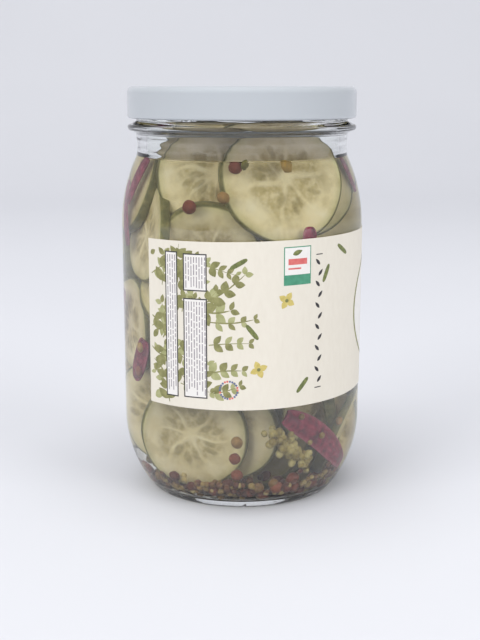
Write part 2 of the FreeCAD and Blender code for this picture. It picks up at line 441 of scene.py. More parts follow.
def ink_finish(name, dark, pale, grain=1.6):
    """Printed ink with a slightly uneven lay-down over the paper's tooth."""
    f = Finish(name, IOR=1.45, Roughness=0.5)
    f.set("Base Color", f.ramp(f.noise(grain, 4.0, 0.6), (0.3, dark), (0.72, pale)))
    f.bump(f.noise(0.35, 3.0), 0.01)
    return f.material


def cucumber_finish():
    """Pickled cucumber: cream flesh, paler veins, murky jelly with seeds and olive skin, with
    brown stains; painted shade darkens slices deep in the jar, and the tops out of the brine under the
    lid."""
    f = Finish("pickled_cucumber", IOR=1.38, Roughness=0.32)
    cloud = f.noise(5.0, 4.0, 0.55)
    flesh = f.ramp(cloud, (0.25, (0.88, 0.76, 0.45)), (0.5, (0.945, 0.845, 0.56)),
                   (0.8, (0.965, 0.89, 0.66)))
    jelly = f.ramp(f.noise(2.4, 4.0, 0.6), (0.3, (0.46, 0.37, 0.16)), (0.7, (0.68, 0.57, 0.28)))
    drift = f.ramp(f.noise(2.0, 3.0, 0.6), (0.32, 0.25), (0.62, 0.95))
    tone = f.blend(f.math("MULTIPLY", f.stored("jelly"), drift), flesh, jelly)
    pip = f.ramp(f.noise(1.2), (0.3, (0.33, 0.27, 0.12)), (0.7, (0.55, 0.46, 0.23)))
    tone = f.blend(f.math("MULTIPLY", f.stored("seed"), 0.7), tone, pip)
    tone = f.blend(f.math("MULTIPLY", f.stored("vein"), 0.32), tone, (0.93, 0.86, 0.58))
    tone = f.blend(f.math("MULTIPLY", f.stored("under_skin"), 0.6), tone, (0.56, 0.53, 0.23))
    peel = f.ramp(f.noise(2.6, 4.0, 0.6), (0.3, (0.13, 0.135, 0.045)), (0.55, (0.23, 0.22, 0.085)),
                  (0.85, (0.42, 0.39, 0.17)))
    tone = f.blend(f.stored("skin"), tone, peel)
    stain = f.ramp(f.noise(7.0, 4.0, 0.65), (0.36, (0.70, 0.66, 0.52)), (0.52, (0.95, 0.94, 0.90)),
                   (0.6, 1.0))
    tone = f.blend(0.6, tone, stain, "MULTIPLY")
    # painted shade: a low "tint" darkens slices towards the jar's middle; its random part is each
    # slice's own tone
    shade = f.ramp(f.stored("tint"), (0.0, (0.50, 0.48, 0.38)), (0.5, (0.90, 0.89, 0.84)), (1.0, 1.0))
    tone = f.blend(1.0, tone, shade, "MULTIPLY")
    # painted shade from the lid: slice parts above the brine ("out") are darkened and greyed
    painted_lid_shade = f.ramp(f.stored("out"), (0.0, 1.0), (1.0, (0.52, 0.49, 0.51)))
    f.set("Base Color", f.blend(1.0, tone, painted_lid_shade, "MULTIPLY"))
    f.bump(f.noise(0.8, 3.0), 0.05)
    return f.material


def onion_finish():
    """Pickled red onion: magenta body with darker lengthwise veins and pale torn edges."""
    f = Finish("pickled_onion", IOR=1.38, Roughness=0.25)
    body = f.ramp(f.noise(2.2, 4.0, 0.65), (0.38, (0.11, 0.005, 0.024)), (0.55, (0.31, 0.014, 0.062)),
                  (0.72, (0.50, 0.09, 0.15)))
    tone = f.blend(f.math("MULTIPLY", f.stored("edge"), 0.45), body, (0.60, 0.26, 0.32))
    tone = f.blend(f.math("MULTIPLY", f.stored("vein"), 0.55), tone, (0.15, 0.01, 0.05))
    f.set("Base Color", tone)
    f.bump(f.noise(1.0, 3.0), 0.05)
    return f.material


def spice_finish(name, *stops, wrinkle=0.10, size=0.7):
    """Whole spice: colour by seed from dark to pale, mottled and wrinkled."""
    f = Finish(name, IOR=1.4, Roughness=0.45)
    tone = f.ramp(f.stored("tint"), *stops)
    mottle = f.ramp(f.noise(0.8, 3.0), (0.3, 0.72), (0.7, 1.0))
    f.set("Base Color", f.blend(1.0, tone, mottle, "MULTIPLY"))
    f.bump(f.noise(size, 3.0), wrinkle)
    return f.material


# ---------------------------------------------------------------- glass, lid and label


def waver(turn, z):
    """Slow unevenness of the inner wall, mm: three crossed sine waves, and level bands in the neck."""
    bands = 0.045 * np.sin(z * 2.4 + 0.4 * np.sin(2 * turn)) * smoothstep(105.0, 110.0, z)
    return (0.07 * np.sin(3 * turn + z / 13.0) + 0.05 * np.sin(5 * turn - z / 8.0 + 1.0)
            + 0.04 * np.sin(z / 5.0 + 2 * turn) + bands)


def wall_waver(section, turn):
    """The waver on the side walls only, fading out to the floor's middle."""
    share = smoothstep(15.0, 30.0, section[:, :1])
    return waver(turn, section[:, 1:]) * share


def thread_swell(turn, z):
    """How far threads stand out: each a bar with sloped sides that rises round the neck.
    Outward = THREAD_OUT times a ramp of the distance from the bar's middle line."""
    low = (RIM_Z - FINISH_H) + THREAD_ABOVE_BEAD
    degrees = np.degrees(turn)
    swell = np.zeros(np.broadcast(turn, z).shape)
    for start in THREAD_START + np.arange(THREADS) * 360 / THREADS:
        share = ((degrees - start) % 360) / THREAD_SWEEP
        away = np.abs(z - low - share * THREAD_RISE)
        side = smoothstep(THREAD_HALF + 0.15, THREAD_CREST_HALF, away)
        ends = smoothstep(0.0, 0.06, share) * smoothstep(1.0, 0.94, share)
        swell = np.maximum(swell, THREAD_OUT * side * ends)
    return swell


def jar_section():
    """Closed half section of the glass, from under the base, up outside and down inside.
    Also tells which rows are the inside and which carry the threads."""
    heel = heel_run(BODY_RAD, HEEL_R, FOOT_R, 0, 12)
    stand_in = heel[0][0] - STAND_W
    across = np.linspace(0, stand_in, 12)
    dome_r = (stand_in ** 2 + PUSH_UP ** 2) / (2 * PUSH_UP)
    dome = np.stack([across, PUSH_UP - dome_r + np.sqrt(dome_r ** 2 - across ** 2)], 1)
    shoulder = shoulder_run(BODY_RAD, NECK_RAD, SHOULDER_R, SHOULDER_FILLET, 10)
    bead_top = RIM_Z - FINISH_H
    bead_low = bead_top - BEAD_H
    middle = bead_top - BEAD_H / 2
    nose = NECK_RAD + BEAD_OUT - BEAD_NOSE_H / 2
    bead = joined(eased([(NECK_RAD, shoulder[-1][1]), (NECK_RAD, bead_low),
                         (nose, middle - BEAD_NOSE_H / 2)], 0.5),
                  arc_run((nose, middle), BEAD_NOSE_H / 2, -90, 90, 12))
    finish = joined(eased([(nose, middle + BEAD_NOSE_H / 2), (NECK_RAD, bead_top),
                           (NECK_RAD, bead_top + 1.0)], 0.5),
                    straight_run((NECK_RAD, bead_top + 1.0), (NECK_RAD, RIM_Z - RIM_OUT_R), 40))
    rim = joined(arc_run((NECK_RAD - RIM_OUT_R, RIM_Z - RIM_OUT_R), RIM_OUT_R, 0, 90, 6),
                 arc_run((BORE_RAD + RIM_IN_R, RIM_Z - RIM_IN_R), RIM_IN_R, 90, 180, 5))
    outside = joined(dome, heel, straight_run(heel[-1], shoulder[0], 24), shoulder, bead, finish)
    inside = joined(straight_run(rim[-1], ROOM[-1], 40), ROOM[::-1])
    section = joined(outside, rim, inside)
    inner = np.zeros(len(section))
    inner[-len(inside):] = 1
    threaded = (np.abs(section[:, 0] - NECK_RAD) < 0.01) & (section[:, 1] > bead_top + 0.4)
    return section, inner[:, None], threaded[:, None]


def make_jar():
    """Glass jar with waver on the inner wall and threads on the finish."""
    section, inner, threaded = jar_section()

    def swell(points, turn):
        return wall_waver(points, turn) * inner + thread_swell(turn, points[:, 1:]) * threaded
    rows = turned_round(section, 288, swell)
    return add_rounds("glass_jar", rows, glass_finish(), "jar", 35.0)


def make_brine():
    """Brine that reaches just into the glass, with a raised rim where it wets the wall.
    Top = level - MENISCUS_H (1 - exp(-distance to the wall / MENISCUS_W))."""
    wall = room_section(INTO_WALL)
    wall = wall[wall[:, 1] < BRINE_TOP - 0.05]
    edge = wall[-1][0]
    inward = edge - np.concatenate([np.linspace(0.1, 8, 26), np.linspace(9, edge, 14)])
    top = BRINE_TOP - MENISCUS_H * (1 - np.exp(-(edge - inward) / MENISCUS_W))
    section = joined(wall, np.stack([inward, top], 1))
    rows = turned_round(section, 240, wall_waver)
    return add_rounds("brine_fill", rows, brine_finish(), "brine", 40.0)


def lid_section():
    """Closed half section of the pressed lid, from under its middle out and back over the top."""
    corner = (LID_RAD - LID_CORNER_R, LID_TOP - LID_CORNER_R)
    ring_in = corner[0] - TOP_RING_W
    panel = (ring_in - PANEL_SLOPE_W, LID_TOP - PANEL_DROP)
    button = (BUTTON_RAD - BUTTON_SLOPE_W, panel[1] - BUTTON_DROP)
    top = [(corner[0], LID_TOP), (ring_in, LID_TOP), panel, (BUTTON_RAD, panel[1]), button,
           (0.0, button[1])]
    over = eased(top, 0.55)
    under = eased([(r, z - SHEET) for r, z in top], 0.5)[::-1]
    skirt_in = LID_RAD - SHEET
    curl = (LID_RAD - CURL_R, LID_BOTTOM + CURL_R)
    start = math.degrees(math.acos((skirt_in - curl[0]) / CURL_R))
    roll = arc_run(curl, CURL_R, start, 360, 18)
    inner = joined(arc_run(corner, LID_CORNER_R - SHEET, 90, 0, 6),
                   straight_run((skirt_in, corner[1]), roll[0], 8))
    outer = joined(straight_run(roll[-1], (LID_RAD, corner[1]), 8),
                   arc_run(corner, LID_CORNER_R, 0, 90, 10))
    return joined(under, inner, roll, outer, over)


def lug_swell(section, turn):
    """Lugs: parts of the rolled edge pressed inwards below the threads."""
    grip = math.radians(THREAD_START + LUG_SHARE * THREAD_SWEEP)
    step = 2 * math.pi / THREADS
    away = np.abs((turn - grip + step / 2) % step - step / 2) * NECK_RAD
    press = smoothstep(LUG_W / 2 + 0.8, LUG_W / 2 - 0.8, away)
    inner_side = smoothstep(LID_RAD - CURL_R, LID_RAD - 2 * CURL_R, section[:, :1])
    low = section[:, 1:] < LID_BOTTOM + 2.2 * CURL_R
    return -LUG_REACH * press * inner_side * low * (section[:, :1] > LID_RAD - 2.2 * CURL_R)


def make_lid():
    """Pressed steel lid: rolled edge with lugs, skirt, raised ring, panel and button."""
    rows = turned_round(lid_section(), 240, lug_swell)
    return add_rounds("screw_lid", rows, lid_finish(), "lid", 50.0)


def on_label(along, up, lift):
    """Place on the label, along mm from its left edge and up mm from its lower edge.
    The label is stuck on slightly crooked: height gains x tan(tilt)."""
    turn = math.radians(LABEL_START) + np.asarray(along) / BODY_RAD
    radius = BODY_RAD + LABEL_T + np.asarray(lift)
    x = radius * np.sin(turn)
    return np.stack(np.broadcast_arrays(x, -radius * np.cos(turn),
                                        LABEL_LOW + up + x * math.tan(LABEL_TILT)), -1)


def make_label():
    """Paper label: a skin on the straight wall."""
    length = math.radians(LABEL_SWEEP) * BODY_RAD
    height = LABEL_HIGH - LABEL_LOW
    along, up = np.meshgrid(np.linspace(0, length, 261), np.linspace(0, height, 29))
    front = on_label(along, up, 0)[None]
    back = on_label(along, up, -LABEL_T + 0.01)[None]
    return add_slabs("paper_label", front, back, paper_finish(), "label")


# ---------------------------------------------------------------- printed shapes


def add_prints(name, outlines, lift, ink, fills=(0.25, 0.5, 0.75, 1.0)):
    """Printed shapes from outlines (count, points, 2) in label mm, one thin round each.
    Rings run from the middle out to the edge on the face, then back under the paper."""
    middle = outlines.mean(1, keepdims=True)
    rows = [middle * np.ones_like(outlines)]
    rows += [middle + (outlines - middle) * share for share in fills]
    rows += [outlines, middle * np.ones_like(outlines)]
    flat = np.stack(rows, 1)
    depth = np.full(flat.shape[:3], lift)
    depth[:, -2:] = -0.03
    placed = on_label(flat[..., 0], flat[..., 1], depth)
    return add_rounds(name, placed, ink, smooth=30.0)


def add_bars(name, boxes, lift, ink):
    """Printed bars from (left, low, right, high) rows in label mm, each a thin slab."""
    boxes = np.asarray(boxes, float)
    share = np.linspace(0, 1, 12)
    along = boxes[:, :1] + (boxes[:, 2:3] - boxes[:, :1]) * share
    up = boxes[:, 1:2] + (boxes[:, 3:4] - boxes[:, 1:2]) * np.array([[0.0, 0.5, 1.0]])
    along = along[:, None, :] * np.ones((1, 3, 1))
    up = up[:, :, None] * np.ones((1, 1, 12))
    front = on_label(along, up, lift)
    back = on_label(along, up, -0.03)
    return add_slabs(name, front, back, ink, smooth=30.0)


def circle(points):
    """Corners of a unit circle, (points, 2)."""
    turn = np.linspace(0, 2 * math.pi, points, endpoint=False)
    return np.stack([np.cos(turn), np.sin(turn)], 1)


def laid_out(x, y, middles, turns):
    """Flat outlines x, y turned by each of turns and moved to each of middles."""
    cos, sin = np.cos(turns)[:, None], np.sin(turns)[:, None]
    return np.stack([middles[:, :1] + x * cos - y * sin, middles[:, 1:] + x * sin + y * cos], 2)


def leaf_outlines(middles, lengths, widths, turns, points=18):
    """Pointed leaf outlines: half width = w sin(pi t)^0.8 (1.25 - 0.5 t), turned and placed."""
    t = np.linspace(0, 1, points // 2 + 1)
    half = np.sin(math.pi * t) ** 0.8 * (1.25 - 0.5 * t)
    ring_x = np.concatenate([t, t[-2:0:-1]]) - 0.5
    ring_y = np.concatenate([half, -half[-2:0:-1]]) / 2
    return laid_out(ring_x[None] * lengths[:, None], ring_y[None] * widths[:, None], middles, turns)


def sprig(foot, turn, length, bend, pairs, leaf):
    """One herb sprig: a bent stem and paired leaves on it that get smaller to the tip.
    Stem point at t = foot + length t (cos, sin)(turn + bend t / 2)."""
    t = np.linspace(0.12, 1.0, pairs)
    aim = turn + bend * t / 2
    stem = np.array(foot) + length * t[:, None] * np.stack([np.cos(aim), np.sin(aim)], 1)
    side = np.tile([1.0, -1.0], pairs)
    lean = np.repeat(turn + bend * t, 2) + side * 0.75
    size = leaf * (1.05 - 0.45 * np.repeat(t, 2))
    middle = np.repeat(stem, 2, 0) + np.stack([np.cos(lean), np.sin(lean)], 1) * size[:, None] * 0.55
    return middle, size, lean


def stem_outline(foot, turn, length, bend, width=0.28):
    """Outline of a sprig's stem, a narrow bent band that thins to the tip."""
    t = np.linspace(0, 1, 12)
    aim = turn + bend * t / 2
    mid = np.array(foot) + length * t[:, None] * np.stack([np.cos(aim), np.sin(aim)], 1)
    out = np.stack([-np.sin(aim), np.cos(aim)], 1) * (width * (1 - 0.6 * t) / 2)[:, None]
    return np.concatenate([mid + out, (mid - out)[::-1]])


def gherkin_outlines(pods, long=1.0, wide=1.0):
    """Gherkins from (along, up, turn) rows: a blunt oval with half sizes 2.9 |cos|^0.7 and
    0.72 |sin|^0.8 mm, times long and wide."""
    cos, sin = circle(24).T
    x = long * 2.9 * np.sign(cos) * np.abs(cos) ** 0.7
    y = wide * 0.72 * np.sign(sin) * np.abs(sin) ** 0.8
    return laid_out(x, y, pods[:, :2], pods[:, 2])


def frame_bars(box, rim):
    """The four bars of a ruled frame, rim mm wide, just inside a (left, low, right, high) box."""
    a, b, c, d = box
    return [(a, b, c, b + rim), (a, d - rim, c, d), (a, b, a + rim, d), (c - rim, b, c, d)]


def make_inks():
    """The label's inks by name: dark and pale tone, then the grain in mm where it isn't usual."""
    tones = {
        "olive": ((0.17, 0.17, 0.062), (0.33, 0.32, 0.14), 2.2),
        "sage": ((0.30, 0.31, 0.13), (0.46, 0.46, 0.25), 2.2),
        "gherkin": ((0.09, 0.115, 0.04), (0.24, 0.265, 0.09), 0.9),
        "black": ((0.025, 0.024, 0.028), (0.05, 0.047, 0.052)),
        "grey": ((0.26, 0.23, 0.26), (0.42, 0.38, 0.40)),
        "white": ((0.79, 0.77, 0.74), (0.83, 0.81, 0.785)),
        "mustard": ((0.50, 0.40, 0.10), (0.66, 0.55, 0.20), 1.0),
        "green": ((0.06, 0.25, 0.15), (0.09, 0.33, 0.21)),
        "rose": ((0.62, 0.13, 0.13), (0.72, 0.20, 0.18)),
        "navy": ((0.10, 0.12, 0.25), (0.16, 0.18, 0.33)),
    }
    return {name: ink_finish(name + "_ink", *tone) for name, tone in tones.items()}


def print_sprigs(ink, own):
    """A thicket of herb sprigs down the left side, and six that reach out to the right."""
    sprigs = []
    for _ in range(34):
        foot = (own.uniform(0.5, 21), own.uniform(1, 46))
        sprigs.append((foot, own.uniform(-0.9, 2.4), own.uniform(7, 10), own.uniform(-1.0, 1.0),
                       3, own.uniform(3.4, 5.0)))
    for foot, turn, length in (((21, 44), -0.35, 9), ((21, 33), 0.45, 14), ((22, 27), -0.15, 13),
                               ((21.5, 20), 0.15, 12), ((20.5, 11), 0.35, 11), ((22, 5), 0.1, 9)):
        sprigs.append((foot, turn, length, own.uniform(-0.6, 0.6), 4, own.uniform(3.2, 4.2)))
    leaves = [sprig(*s) for s in sprigs]
    middle, size, lean = (np.concatenate([leaf[i] for leaf in leaves]) for i in range(3))
    keep = ((middle[:, 0] > size * 0.6) & (middle[:, 1] > size * 0.6 + 0.3)
            & (middle[:, 1] < 50.4 - size * 0.6))
    middle, size, lean = middle[keep], size[keep], lean[keep]
    outline = leaf_outlines(middle, size, size * own.uniform(0.50, 0.72, len(size)), lean)
    pale = own.random(len(outline)) < 0.38
    add_prints("print_leaves", outline[~pale], 0.020, ink["olive"])
    add_prints("print_pale_leaves", outline[pale], 0.014, ink["sage"])
    stems = np.stack([stem_outline(*s[:4]) for s in sprigs])
    inside = (stems[..., 0].min(1) > 0.3) & (stems[..., 1].min(1) > 0.4) & (stems[..., 1].max(1) < 50.5)
    add_prints("print_stems", stems[inside], 0.017, ink["olive"])


def print_panels(ink, own):
    """Three framed white panels with columns of broken grey rules."""
    panels = np.array([[7.0, 3.2, 11.4, 47.8], [13.4, 3.4, 21.0, 34.0], [13.4, 36.2, 21.0, 47.4]])
    add_bars("print_panels", panels, 0.028, ink["white"])
    add_bars("print_frames", np.concatenate([frame_bars(p, 0.36) for p in panels]), 0.036, ink["black"])
    rules = []
    for a, b, c, d in panels:
        for spot in np.arange(a + 0.95, c - 0.6, 0.86):
            top = d - 1.0
            while top > b + 1.6 + own.uniform(0, 3.0):
                reach = min(own.uniform(0.9, 3.4), top - b - 0.9)
                rules.append((spot - 0.16, top - reach, spot + 0.16, top))
                top -= reach + 0.45
    add_bars("print_rules", rules, 0.036, ink["grey"])


def print_field(ink):
    """Gherkins, flowers, a plain badge, a beaded ring and a column of leaves on the cream field."""
    pods = np.array([[34.5, 24.0, -0.9], [50.5, 6.5, 0.85], [59.0, 40.0, 1.15], [66.5, 46.5, -0.6],
                     [30.5, 44.5, 0.5]])
    add_prints("print_gherkins", gherkin_outlines(pods), 0.022, ink["gherkin"])
    petals = []
    hearts = np.array([[36.5, 12.5], [45.0, 33.0]])
    for heart in hearts:
        aims = np.arange(4) * math.pi / 2 + heart[0]
        place = heart + 1.45 * np.stack([np.cos(aims), np.sin(aims)], 1)
        petals.append(leaf_outlines(place, np.full(4, 2.7), np.full(4, 1.9), aims))
    add_prints("print_flowers", np.concatenate(petals), 0.022, ink["mustard"])
    add_prints("print_flower_hearts", hearts[:, None] + 0.55 * circle(24), 0.03, ink["olive"])

    add_bars("print_badge", [(44.0, 37.5, 53.0, 49.0)], 0.022, ink["green"])
    add_bars("print_badge_field", [(44.3, 40.6, 52.7, 48.7)], 0.030, ink["white"])
    add_bars("print_badge_bars", [(45.4, 43.6, 51.6, 45.4), (45.4, 42.2, 49.6, 42.7)], 0.038,
             ink["rose"])
    tip = leaf_outlines(np.array([[48.4, 47.2]]), np.array([3.4]), np.array([1.5]), np.array([0.35]))
    add_prints("print_badge_leaf", tip, 0.038, ink["gherkin"])

    aims = np.linspace(0, 2 * math.pi, 22, endpoint=False)
    beads = (np.array([27.5, 6.3]) + 2.7 * circle(22))[:, None] + 0.33 * circle(12)
    add_prints("print_ring", beads[aims % 1.6 > 0.5], 0.024, ink["navy"], (0.5, 1.0))
    add_prints("print_ring_rose", beads[aims % 1.6 <= 0.5], 0.024, ink["rose"], (0.5, 1.0))

    step = np.arange(12)
    sway = (-1.0) ** step
    column = leaf_outlines(np.stack([56.2 + 0.55 * sway, 7.5 + step * 3.3], 1), np.full(12, 2.5),
                           np.full(12, 0.95), 1.57 - 0.7 * sway)
    add_prints("print_column", column, 0.022, ink["black"])
    add_bars("print_column_ends", [(55.0, 4.8, 57.4, 5.1), (55.0, 45.9, 57.4, 46.2)], 0.022,
             ink["black"])


def print_far_side(ink):
    """Main panel on the right side, an oval with three gherkins, and a ruled table at the back."""
    middle = np.array([100.0, 25.5])
    oval = circle(160)[None] * [25, 19]
    rings = tuple(np.linspace(0.04, 1, 24))
    add_prints("print_oval_edge", middle + oval, 0.018, ink["olive"], rings)
    add_prints("print_oval", middle + 0.955 * oval, 0.026, ink["white"], rings)
    pods = np.array([[93.0, 24.0, 1.1], [100.0, 27.0, 1.35], [107.0, 24.5, 1.9]])
    add_prints("print_big_gherkins", gherkin_outlines(pods, 2.6, 3.0), 0.034, ink["gherkin"],
               tuple(np.linspace(0.1, 1, 10)))
    crown = [sprig((100, 34), 0.35 + 0.6 * i, 8, 0.2, 4, 2.8) for i in range(5)]
    spots, spans, leans = (np.concatenate([c[i] for c in crown]) for i in range(3))
    add_prints("print_crown", leaf_outlines(spots, spans, spans * 0.5, leans), 0.034, ink["olive"])
    add_bars("print_table", [(150, b, 172, b + 0.3) for b in np.arange(8, 44, 2.6)], 0.022, ink["grey"])
    add_bars("print_table_edge", frame_bars((148, 5, 174, 45.4), 0.4), 0.022, ink["black"])


def make_print():
    """Generic label print, in thin shapes that stand a few hundredths of a mm off the paper."""
    ink = make_inks()
    own = np.random.default_rng(7)
    print_sprigs(ink, own)
    print_panels(ink, own)
    print_field(ink)
    print_far_side(ink)


# ---------------------------------------------------------------- cucumber slices

# Placed slices: the first seven show in front, the others close the sides. Each row is direction
# round the jar, distance from the axis, height, radius, lean back, turn aside and thickness.
SHOWN = np.array([
    [29.0, 27.0, 101.5, 18.3, 10.0, -22.0, 3.4],
    [-19.0, 20.5, 105.5, 17.5, 8.0, 14.0, 3.4],
    [-32.0, 21.0, 66.5, 18.0, 45.0, 20.0, 3.4],
    [-34.0, 27.5, 23.2, 16.7, -6.0, 30.0, 3.4],
    [-15.0, 20.2, 25.0, 16.5, -8.0, -3.0, 3.4],
    [-78.0, 21.0, 27.0, 15.5, -4.0, 40.0, 3.4],
    [82.0, 21.5, 28.0, 15.0, -6.0, -40.0, 3.6],
    [66.0, 16.5, 99.0, 15.5, 8.0, -50.0, 3.4],
    [-90.0, 12.5, 105.0, 16.5, 3.0, 75.0, 3.4],
    [110.0, 13.3, 105.5, 16.5, 3.0, -98.0, 3.4],
    [-92.0, 26.5, 98.0, 14.5, 14.0, 6.0, 3.4],
    [-60.0, 28.0, 84.0, 14.5, 12.0, -22.0, 3.4],
    [-88.0, 27.5, 54.0, 15.0, 3.0, 4.0, 3.4],
])
PACKED = 34
FINE = 7
SLICE_TOP = 118.0
BELTS = np.array([14.0, 30.0, 47.0, 63.0, 80.0, 97.0])
GOLDEN_TURN = 137.5
BALL_GAP = 0.1
GLASS_GAP = 0.2
BED_DEPTH = 2.0
SINK = 0.01
HELD = 0.03
MOST_MOVE = 1.2
MOST_TWIST = 0.10
EDGE_R = 0.8
CORE = 0.64
LOBES = 6
LOBE_SEEDS = 3


def slice_frames():
    """Middles, facing directions and sizes of the slices: placed ones, then loose ones.
    Facing = outwards, leaned back and turned aside. Loose ones lie in belts; those that could
    come before the placed ones stay away from the front."""
    own = np.random.default_rng(23)
    loose = []
    for i in range(PACKED):
        belt = BELTS[i % len(BELTS)]
        core = (i // len(BELTS)) % 3 == 2
        aim = 45.0 + (i * GOLDEN_TURN) % 360
        if core or belt < 50 or belt > 90:
            aim = 85.0 + (i * GOLDEN_TURN) % 205
        loose.append([aim, 9.0 if core else 24.0, belt + own.uniform(-4, 4), own.uniform(13.5, 17.0),
                      own.normal(0, 22), own.normal(0, 35 if not core else 80), own.uniform(3.2, 4.0)])
    rows = np.concatenate([SHOWN, np.array(loose)])
    turn = np.radians(rows[:, 0])
    middle = np.stack([rows[:, 1] * np.sin(turn), -rows[:, 1] * np.cos(turn), rows[:, 2]], 1)
    side = turn + np.radians(rows[:, 5])
    lean = np.radians(rows[:, 4])
    face = np.stack([np.sin(side) * np.cos(lean), -np.cos(side) * np.cos(lean), np.sin(lean)], 1)
    return middle, face, rows[:, 3], rows[:, 6], len(SHOWN)


def side_vectors(face):
    """Two unit directions in each slice's plane: level, and up the slice."""
    level = np.cross(np.array([0.0, 0.0, 1.0]), face)
    level += np.array([1e-3, 0, 0])
    level /= np.linalg.norm(level, axis=1, keepdims=True)
    return level, np.cross(face, level)


def settle(middle, face, radius, thick, pinned, rounds=300):
    """Pushes overlapping slices apart. Each slice is sampled by balls as thick as it is: a pair
    of balls that overlap move and turn their slices, and so does a ball that meets the glass.
    Loose ones sink a little, and the pinned ones hardly move."""
    rings = [(0, 1), (0.45, 7), (0.88, 16)]
    spots = np.concatenate([[[share * math.cos(a), share * math.sin(a)]
                             for a in np.arange(n) * 2 * math.pi / n] for share, n in rings])
    owner = np.repeat(np.arange(len(middle)), len(spots))
    ball = np.repeat(thick / 2, len(spots)) + BALL_GAP
    limit = (ball[:, None] + ball[None]) ** 2
    limit[owner[:, None] == owner[None]] = -1
    free = np.where(np.arange(len(middle)) >= pinned, 1.0, HELD)[:, None]
    for _ in range(rounds):
        level, up = side_vectors(face)
        inner = (radius - thick * 0.3)[:, None, None]
        arm = inner * (spots[None, :, :1] * level[:, None] + spots[None, :, 1:] * up[:, None])
        place = (middle[:, None] + arm).reshape(-1, 3)
        square = (place ** 2).sum(1)
        one, other = np.nonzero(square[:, None] + square[None] - 2 * place @ place.T < limit)
        gap = place[one] - place[other]
        far = np.linalg.norm(gap, axis=1) + 1e-6
        depth = ball[one] + ball[other] - far
        push = gap * (0.5 * depth / far)[:, None]
        force = np.stack([np.bincount(one, push[:, i], len(place)) for i in range(3)], 1)
        across = np.hypot(place[:, 0], place[:, 1])
        over = np.maximum(across + ball - room_radius(place[:, 2]) + GLASS_GAP, 0)
        force[:, :2] -= place[:, :2] / (across[:, None] + 1e-6) * over[:, None]
        force[:, 2] += np.maximum(floor_height(across) + ball + BED_DEPTH - place[:, 2], 0)
        force[:, 2] -= np.maximum(place[:, 2] + ball - SLICE_TOP, 0)
        force = force.reshape(len(middle), -1, 3)
        move = force.sum(1) / 4
        move[:, 2] -= SINK * (free[:, 0] > 0.5)
        size = np.linalg.norm(move, axis=1, keepdims=True)
        move *= np.minimum(1, MOST_MOVE / (size + 1e-9))
        twist = np.cross(arm, force).sum(1) / (radius ** 2)[:, None] * 0.5
        size = np.linalg.norm(twist, axis=1, keepdims=True)
        twist *= np.minimum(1, MOST_TWIST / (size + 1e-9))
        middle = middle + move * free
        face = face + np.cross(twist, face) * free
        face /= np.linalg.norm(face, axis=1, keepdims=True)
    left = depth.max() if len(depth) else 0.0
    print("slices settled, deepest overlap left", round(float(left), 2), "mm")
    return middle, face


def slice_rows(around, across, rim_steps):
    """Parameters of a slice's rows: share of the radius, side (+1 face, -1 back) and rim angle."""
    share = np.linspace(0, 1, across + 1)
    face = np.stack([share, np.ones_like(share), np.full_like(share, 90.0)], 1)
    rim_angle = np.linspace(90, -90, rim_steps + 2)[1:-1]
    rim = np.stack([np.ones_like(rim_angle), np.sign(rim_angle + 1e-6), rim_angle], 1)
    back = face[::-1].copy()
    back[:, 1:] *= -1
    return np.concatenate([face, rim, back]), np.linspace(0, 2 * math.pi, around, endpoint=False)


def slice_pattern(part, turn, phase, own):
    """Jelly, veins and seeds of each slice, 0 to 1, by share of the radius and angle. Fine rays
    part the lobes, every second one stronger; each lobe may hold three oval seeds."""
    count = phase.shape[1]
    lobe = (turn + phase[3] + 0.16 * np.sin(5 * part + phase[4])
            + 0.13 * np.sin(2 * turn + phase[5]))
    core = CORE * (1 + 0.05 * np.cos(3 * lobe) + 0.03 * np.cos(5 * turn + phase[5]))
    star = part * np.abs(np.sin(3 * lobe)) / 3
    inside = smoothstep(core + 0.07, core - 0.16, part)
    vein = np.exp(-(star / 0.011) ** 2) * smoothstep(core + 0.08, core - 0.12, part)
    vein *= 0.2 + 0.6 * np.cos(1.5 * lobe) ** 2
    vein = np.maximum(vein, 0.7 * smoothstep(0.10, 0.03, part))
    streak = 0.5 + 0.5 * np.sin(27 * turn + 2.5 * np.sin(9 * part + phase[4]))
    vein = np.maximum(vein, 0.35 * streak * smoothstep(core - 0.05, core + 0.12, part))
    jelly = inside * smoothstep(0.008, 0.055, star) * smoothstep(0.06, 0.20, part)
    seed = np.zeros_like(part)
    for index in range(LOBES * LOBE_SEEDS):
        sector, spot = divmod(index, LOBE_SEEDS)
        aim = (sector * 2 * math.pi / LOBES + math.pi / LOBES + (spot - 1) * 0.30
               + own.normal(0, 0.06, (count, 1, 1)))
        out = 0.38 + (0.10 if spot == 1 else -0.02) + own.normal(0, 0.04, (count, 1, 1))
        shown = own.random((count, 1, 1)) < (0.75 if spot == 1 else 0.55)
        along = part * np.cos(lobe - aim) - out
        aside = part * np.sin(lobe - aim)
        oval = np.sqrt((along / 0.135) ** 2 + (aside / 0.072) ** 2)
        seed = np.maximum(seed, smoothstep(1.05, 0.55, oval) * shown)
        vein = np.maximum(vein, 0.75 * np.exp(-((oval - 1.12) / 0.16) ** 2) * shown)
    return jelly, vein, seed


